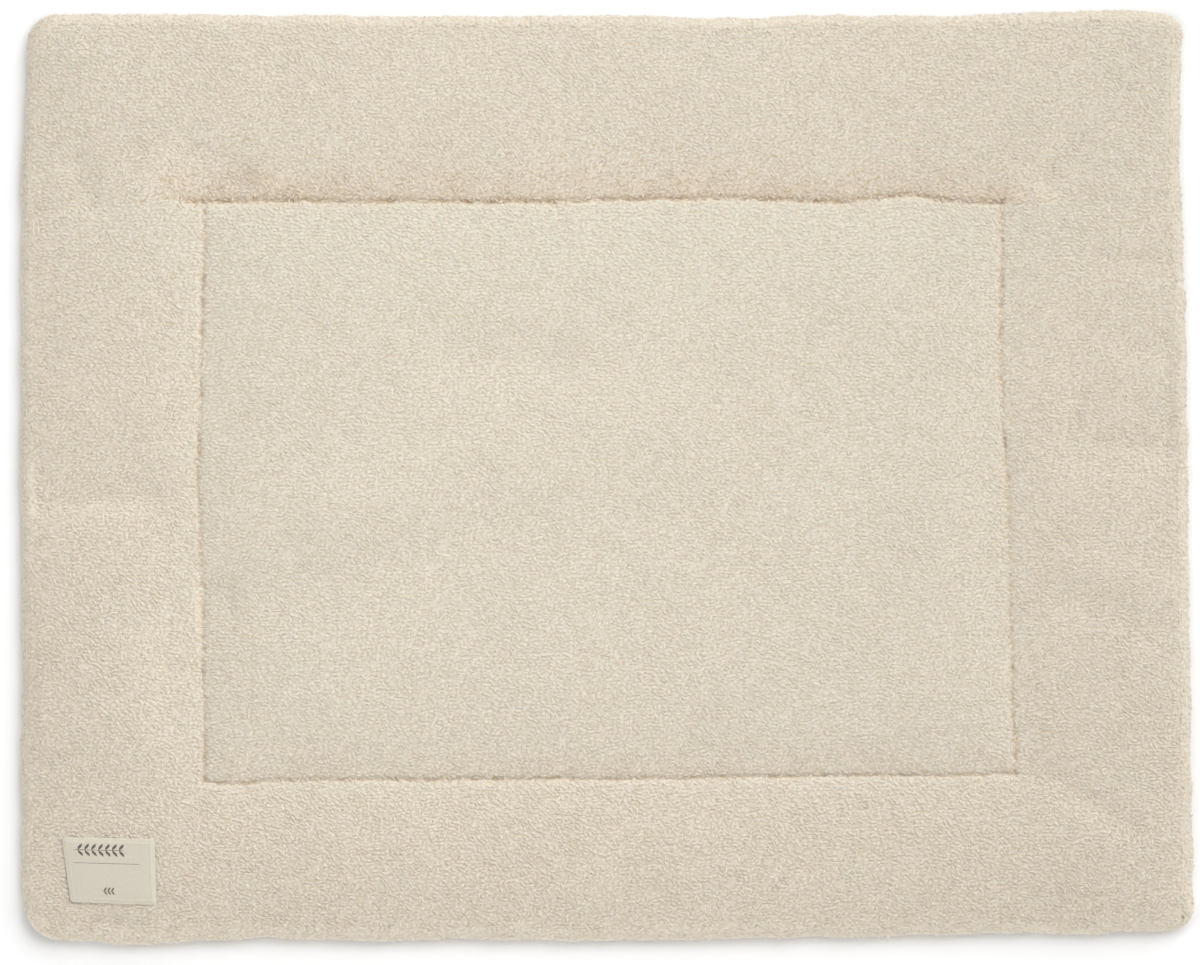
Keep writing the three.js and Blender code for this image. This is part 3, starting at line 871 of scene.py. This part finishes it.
def teddy_fleece():
    """Teddy fleece: looped polyester yarn, cut and tumbled till it curls, cream.

    Quite matt. Its curls are painted pale at their crests and tan towards their roots: this is painted shade,
    for the shade between them, turned tan by the light that gets in and passes from fibre to fibre. Patches
    are slightly warmer or cooler, and where the pile is ruffled the roots are painted darker still, as more
    painted shade. The smallest curls, on the large ones and between them, are a noise's even steps, drawn as
    the sine of SWIRL_TURNS times its value, and are painted in shade in the same way where they lie low.
    """
    constants = {"Roughness": 0.92, "Specular IOR Level": 0.15, "Sheen Weight": 0.12, "Sheen Roughness": 0.6}
    material, tree, shader = new_material("teddy_fleece_pile", "#e6dccb", constants)
    place = add_node(tree, "TexCoord").outputs["Object"]
    depth, tone, ruffle = [
        add_node(tree, "Attribute", attribute_name=name).outputs["Fac"]
        for name in ("depth", "tone", "ruffle")
    ]

    sizes = [1 / size for size in SWIRL_SIZE]
    stretched = add_node(tree, "VectorMath", {0: place, 1: sizes}, operation="MULTIPLY")
    swirl = add_node(tree, "TexNoise", {"Vector": stretched, "Scale": 1.0, "Detail": 1.0})
    turns = add_node(tree, "Math", {0: swirl, 1: SWIRL_TURNS}, operation="MULTIPLY")
    curl = add_node(tree, "Math", {0: turns}, operation="SINE")
    # The pile's height for its colour: lower places get more painted shade
    height = add_node(tree, "Math", {0: curl, 1: 0.22, 2: depth}, operation="MULTIPLY_ADD", use_clamp=True)

    patches = add_node(tree, "TexNoise", {"Vector": place, "Scale": 1 / (5 * MM), "Detail": 2.0})
    cool = add_node(tree, "Math", {0: ruffle, 1: -0.85, 2: patches}, operation="MULTIPLY_ADD", use_clamp=True)
    crest = add_node(
        tree, "Mix", {FACTOR: cool, FIRST: linear("#dfd5c9"), SECOND: linear("#d8d8ca")}, data_type="RGBA"
    )
    # Painted shade: tan at the roots, pale at the crests, by the pile's height
    shaded = add_node(tree, "Math", {0: height, 1: 0.6}, operation="POWER")
    shade_to_crest = {FACTOR: shaded, FIRST: linear("#c2b398"), SECOND: crest.outputs[MIXED]}
    colour = add_node(tree, "Mix", shade_to_crest, data_type="RGBA")
    bright = add_node(tree, "MapRange", {"Value": tone, "To Min": 0.985, "To Max": 1.015})
    toned = add_node(tree, "HueSaturation", {"Color": colour.outputs[MIXED], "Value": bright})
    # Painted shade at the roots, darker and more yellow-brown where the pile is ruffled
    root = add_node(tree, "Math", {0: 1.25, 1: height}, operation="SUBTRACT")
    ruffle_squared = add_node(tree, "Math", {0: ruffle, 1: 2.0}, operation="POWER")
    painted_root_shade = add_node(tree, "Math", {0: ruffle_squared, 1: root}, operation="MULTIPLY", use_clamp=True)
    root_shade_mix = {FACTOR: painted_root_shade, FIRST: toned, SECOND: linear("#efe3d3")}
    root_shaded_colour = add_node(tree, "Mix", root_shade_mix, data_type="RGBA", blend_type="MULTIPLY")
    bump = add_node(tree, "Bump", {"Height": curl, "Strength": 0.3, "Distance": 0.25 * MM})
    set_surface(shader, root_shaded_colour, bump)
    return material


def label_cotton():
    """Plain woven cotton, printed and washed soft: off-white and matt, with a faint grid of threads.

    A leaf lies where the distance to its own line is less than its half width times the sine of half a
    turn times the way out from the stem over its length. Leaves lean by LEAF_LEAN times that way.
    """
    constants = {"Roughness": 0.85, "Specular IOR Level": 0.2}
    material, tree, shader = new_material("label_woven_cotton", "#e0dacb", constants)
    flat = add_node(tree, "UVMap", uv_map="label_cloth")
    size = (LABEL_WIDTH / MM, LABEL_LENGTH / MM, 0)
    place = add_node(tree, "VectorMath", {0: flat, 1: size}, operation="MULTIPLY")
    axes = add_node(tree, "SeparateXYZ", {0: place})
    x, y = axes.outputs["X"], axes.outputs["Y"]

    height, middle, half, half_width = RULE
    across = add_node(tree, "Math", {0: y, 1: height, 2: half_width}, operation="COMPARE")
    along = add_node(tree, "Math", {0: x, 1: middle, 2: half}, operation="COMPARE")
    ink = add_node(tree, "Math", {0: across, 1: along}, operation="MULTIPLY")
    for height, middle, half, length, pitch, half_width in SPRIGS:
        off = add_node(tree, "Math", {0: y, 1: height}, operation="SUBTRACT")
        out = add_node(tree, "Math", {0: off}, operation="ABSOLUTE")
        lean = add_node(tree, "Math", {0: out, 1: -LEAF_LEAN, 2: x}, operation="MULTIPLY_ADD")
        first = middle - half - pitch / 2
        from_first = add_node(tree, "Math", {0: lean, 1: first}, operation="SUBTRACT")
        aside = add_node(tree, "Math", {0: from_first, 1: pitch / 2}, operation="PINGPONG")
        turn = add_node(tree, "Math", {0: out, 1: np.pi / length}, operation="MULTIPLY")
        sine = add_node(tree, "Math", {0: turn}, operation="SINE")
        wide = add_node(tree, "Math", {0: sine, 1: half_width}, operation="MULTIPLY")
        leaf = add_node(tree, "Math", {0: aside, 1: wide}, operation="LESS_THAN")
        near = add_node(tree, "Math", {0: out, 1: length}, operation="LESS_THAN")
        leaves = add_node(tree, "Math", {0: leaf, 1: near}, operation="MULTIPLY")
        stem = add_node(tree, "Math", {0: out, 1: STEM_HALF_WIDTH}, operation="LESS_THAN")
        sprig = add_node(tree, "Math", {0: leaves, 1: stem}, operation="MAXIMUM")
        along = add_node(tree, "Math", {0: lean, 1: middle, 2: half}, operation="COMPARE")
        ink = add_node(tree, "Math", {0: sprig, 1: along, 2: ink}, operation="MULTIPLY_ADD")

    slubs = add_node(tree, "TexNoise", {"Vector": place, "Scale": 0.35, "Detail": 3.0})
    cloth = add_node(
        tree, "Mix", {FACTOR: slubs, FIRST: linear("#c1bbab"), SECOND: linear("#ccc6b7")}, data_type="RGBA"
    )
    on_hem = add_node(tree, "Attribute", attribute_name="hem").outputs["Fac"]
    double = add_node(tree, "MapRange", {"Value": on_hem, "To Min": 1.0, "To Max": 1.05})
    hemmed = add_node(tree, "HueSaturation", {"Color": cloth.outputs[MIXED], "Value": double})
    faded = add_node(tree, "Math", {0: ink, 1: 0.85}, operation="MULTIPLY", use_clamp=True)
    colour = add_node(
        tree, "Mix", {FACTOR: faded, FIRST: hemmed, SECOND: linear("#3b3733")}, data_type="RGBA"
    )
    # Threads lie 0.4 mm apart, too close for the render to show, so they are drawn 0.8 mm apart
    wave = add_node(tree, "VectorMath", {0: place, 1: (np.pi / 0.8,) * 3}, operation="MULTIPLY")
    sines = add_node(tree, "VectorMath", {0: wave}, operation="SINE")
    threads = add_node(tree, "SeparateXYZ", {0: sines})
    crossing = add_node(tree, "Math", {0: threads, 1: threads.outputs["Y"]}, operation="MULTIPLY")
    weave = add_node(tree, "Math", {0: crossing}, operation="ABSOLUTE")
    bump = add_node(tree, "Bump", {"Height": weave, "Strength": 0.6, "Distance": 0.15 * MM})
    set_surface(shader, colour, bump)
    return material


def sewing_thread():
    """Spun polyester thread, dyed to match: cream, with a slight gloss and the ridges of its twist.

    The twist is drawn 0.6 mm apart, a little coarser than it is, so that it shows.
    """
    constants = {"Roughness": 0.6, "Specular IOR Level": 0.4, "Sheen Weight": 0.1, "Sheen Roughness": 0.5}
    material, tree, shader = new_material("spun_sewing_thread", "#d9ccb2", constants)
    place = add_node(tree, "TexCoord").outputs["Object"]
    waves = {"Vector": place, "Scale": 1 / (20 * 0.6 * MM), "Distortion": 1.0}
    twist = add_node(tree, "TexWave", waves, bands_direction="DIAGONAL")
    colour = add_node(
        tree, "Mix", {FACTOR: twist, FIRST: linear("#c8b997"), SECOND: linear("#e2d7c0")}, data_type="RGBA"
    )
    bump = add_node(tree, "Bump", {"Height": twist, "Strength": 0.5, "Distance": 0.1 * MM})
    set_surface(shader, colour, bump)
    return material


def studio_board():
    """White studio board, rolled matt: it throws soft light back on the mat's edges."""
    constants = {"Roughness": 0.9, "Specular IOR Level": 0.1}
    return new_material("white_studio_board", "#f7f7f7", constants)[0]


def aim(thing, place, target):
    """Puts a lamp at a place and turns its -Z axis to a target."""
    thing.location = place
    thing.rotation_euler = (Vector(target) - Vector(place)).to_track_quat("-Z", "Y").to_euler()
    bpy.context.scene.collection.objects.link(thing)


def studio():
    """The camera straight above, as in the photograph, the floor and the light."""
    scene = bpy.context.scene
    camera = bpy.data.cameras.new("camera")
    camera.lens = camera.sensor_width * (CAMERA_HEIGHT - CROWN / 2) / PHOTO_WIDTH
    scene.camera = bpy.data.objects.new("camera", camera)
    scene.camera.location = (*(PHOTO_MIDDLE - TO_FRAME[:2]), CAMERA_HEIGHT)
    scene.collection.objects.link(scene.camera)
    scene.view_settings.view_transform = "Standard"

    x, y = FLOOR_SIZE / 2 * np.array([(-1, 1, 1, -1), (-1, -1, 1, 1)])
    corners = np.column_stack([x, y, np.full(4, -FLOOR_DROP)])
    make_piece("studio_floor", corners, [np.array([[0, 1, 2, 3]])], studio_board())

    scene.world = bpy.data.worlds.new("studio")
    scene.world.use_nodes = True
    sky = scene.world.node_tree.nodes["Background"].inputs
    sky["Color"].default_value = linear("#ffffff")
    sky["Strength"].default_value = SKY_STRENGTH
    for name, (place, strength, spread) in SUNS.items():
        sun = bpy.data.lights.new(name, "SUN")
        sun.energy, sun.angle = strength, np.radians(spread)
        aim(bpy.data.objects.new(name, sun), place, (0, 0, 0))
    soft = bpy.data.lights.new("overhead", "AREA")
    soft.energy, soft.size = OVERHEAD_POWER, OVERHEAD_SIZE
    lamp = bpy.data.objects.new("overhead", soft)
    lamp.visible_camera = False
    aim(lamp, OVERHEAD_PLACE, (*OVERHEAD_PLACE[:2], 0))


XS, YS = lines_along(COLUMNS), lines_along(ROWS)
RIM = rim_loop(len(XS), len(YS))
RIM_X, RIM_Y = [np.append(line, line[0]) for line in (XS[RIM[0]], YS[RIM[1]])]
RIM_AT = np.append(0, np.cumsum(np.hypot(np.diff(RIM_X), np.diff(RIM_Y))))
RIM_PLACES = np.arange(len(RIM_AT))
outline = np.stack(lay(RIM_X, RIM_Y), axis=1)
TO_FRAME = np.append((outline.min(axis=0) + outline.max(axis=0) - np.sum(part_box("mat"), axis=0)[:2]) / 2, 0)

studio()
fleece = teddy_fleece()
filled_mat, top, rings = sewn_mat(fleece)
TOP = patch(XS, YS, top)
under = np.concatenate([rings[UNDER_STEPS - 1 :: -1], top[RIM][None]])
under = np.concatenate([under, under[:, :1]], axis=1)
UNDER = patch(RIM_PLACES, np.linspace(-1, 0, UNDER_STEPS + 1), under.swapaxes(0, 1))

curls = pile(fleece)
label = sewn_label(label_cotton())
thread = sewing_thread()
label_seam = box_corners(STITCH_INSET, STITCH_INSET, LABEL_WIDTH - STITCH_INSET, LABEL_LENGTH - STITCH_INSET)
label_stitches = stitches("label_stitches", label_surface, label_seam, LABEL_STITCH, thread)
panel_seam = box_corners(COLUMNS[1], ROWS[1], COLUMNS[2], ROWS[2])
panel_stitches = stitches("panel_stitches", on_top, panel_seam, PANEL_STITCH, thread)

for piece in (filled_mat, *curls, label, label_stitches, panel_stitches):
    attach(piece, "root")
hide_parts("mat")
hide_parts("label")
